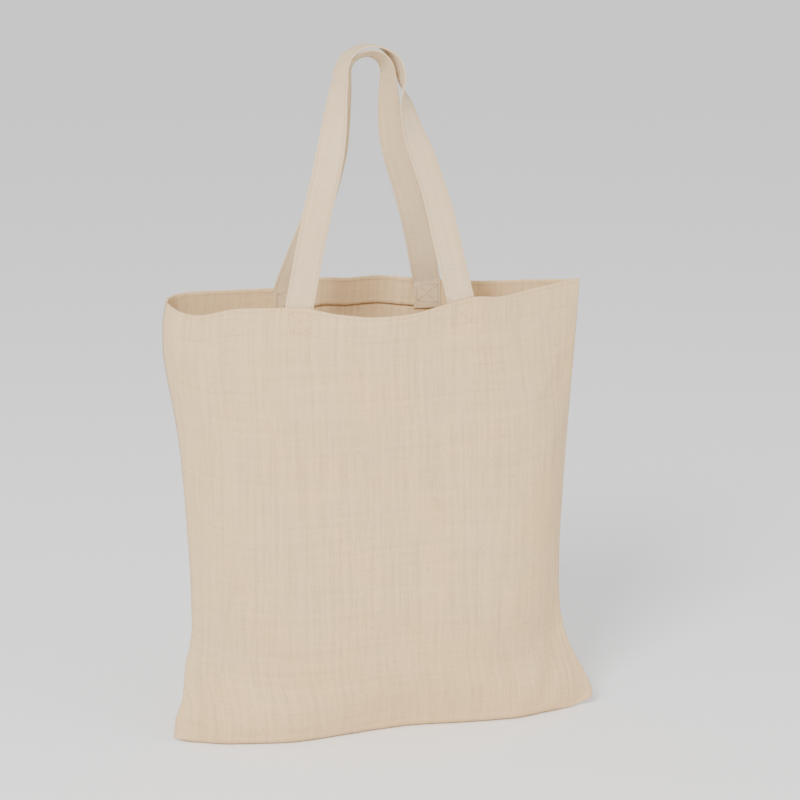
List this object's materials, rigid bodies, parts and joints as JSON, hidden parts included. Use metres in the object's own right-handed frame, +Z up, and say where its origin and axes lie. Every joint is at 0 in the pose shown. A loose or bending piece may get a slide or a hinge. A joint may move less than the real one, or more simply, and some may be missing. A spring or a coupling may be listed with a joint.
{
  "type": "tote bag",
  "caption": "Open-topped flat canvas tote bag with a stitched hem, two carrying handles of webbing and side and bottom seams.",
  "frame": {"origin": "on the floor under the middle of the standing bag", "axes": "+Z up, X along the bag's width, front panel towards -Y"},
  "size_m": [0.394, 0.1142, 0.6325],
  "materials": {
    "canvas": "plain woven, slubby, unbleached",
    "handle_webbing": "folded and edge-stitched woven strap",
    "sewing_thread": "spun cotton thread",
    "overlock_thread": "spun cotton thread"
  },
  "bodies": {
    "bag": {"back_hem": "canvas", "back_hem_stitch_inner": "sewing_thread", "back_hem_stitch_outer": "sewing_thread", "back_left_box_stitch": "sewing_thread", "back_left_handle_end": "handle_webbing", "back_panel": "canvas", "back_right_box_stitch": "sewing_thread", "back_right_handle_end": "handle_webbing", "back_rim_stitch_inner": "sewing_thread", "back_rim_stitch_outer": "sewing_thread", "bottom_seam_allowance": "canvas", "bottom_seam_overlock": "overlock_thread", "front_hem": "canvas", "front_hem_stitch_inner": "sewing_thread", "front_hem_stitch_outer": "sewing_thread", "front_left_box_stitch": "sewing_thread", "front_left_handle_end": "handle_webbing", "front_panel": "canvas", "front_right_box_stitch": "sewing_thread", "front_right_handle_end": "handle_webbing", "front_rim_stitch_inner": "sewing_thread", "front_rim_stitch_outer": "sewing_thread", "left_seam_allowance": "canvas", "left_seam_overlock": "overlock_thread", "right_seam_allowance": "canvas", "right_seam_overlock": "overlock_thread"},
    "front_handle": {"front_handle": "handle_webbing", "front_handle_edge_stitch": "sewing_thread"},
    "back_handle": {"back_handle": "handle_webbing", "back_handle_edge_stitch": "sewing_thread"}
  },
  "joints": [
    {"name": "front_handle_fold", "type": "hinge", "parent": "bag", "child": "front_handle", "pos_m": [0, -0.0465, 0.411], "axis": [1, 0, 0], "range_deg": [0, 170]},
    {"name": "back_handle_fold", "type": "hinge", "parent": "bag", "child": "back_handle", "pos_m": [0, 0.0465, 0.411], "axis": [-1, 0, 0], "range_deg": [0, 170]}
  ]
}
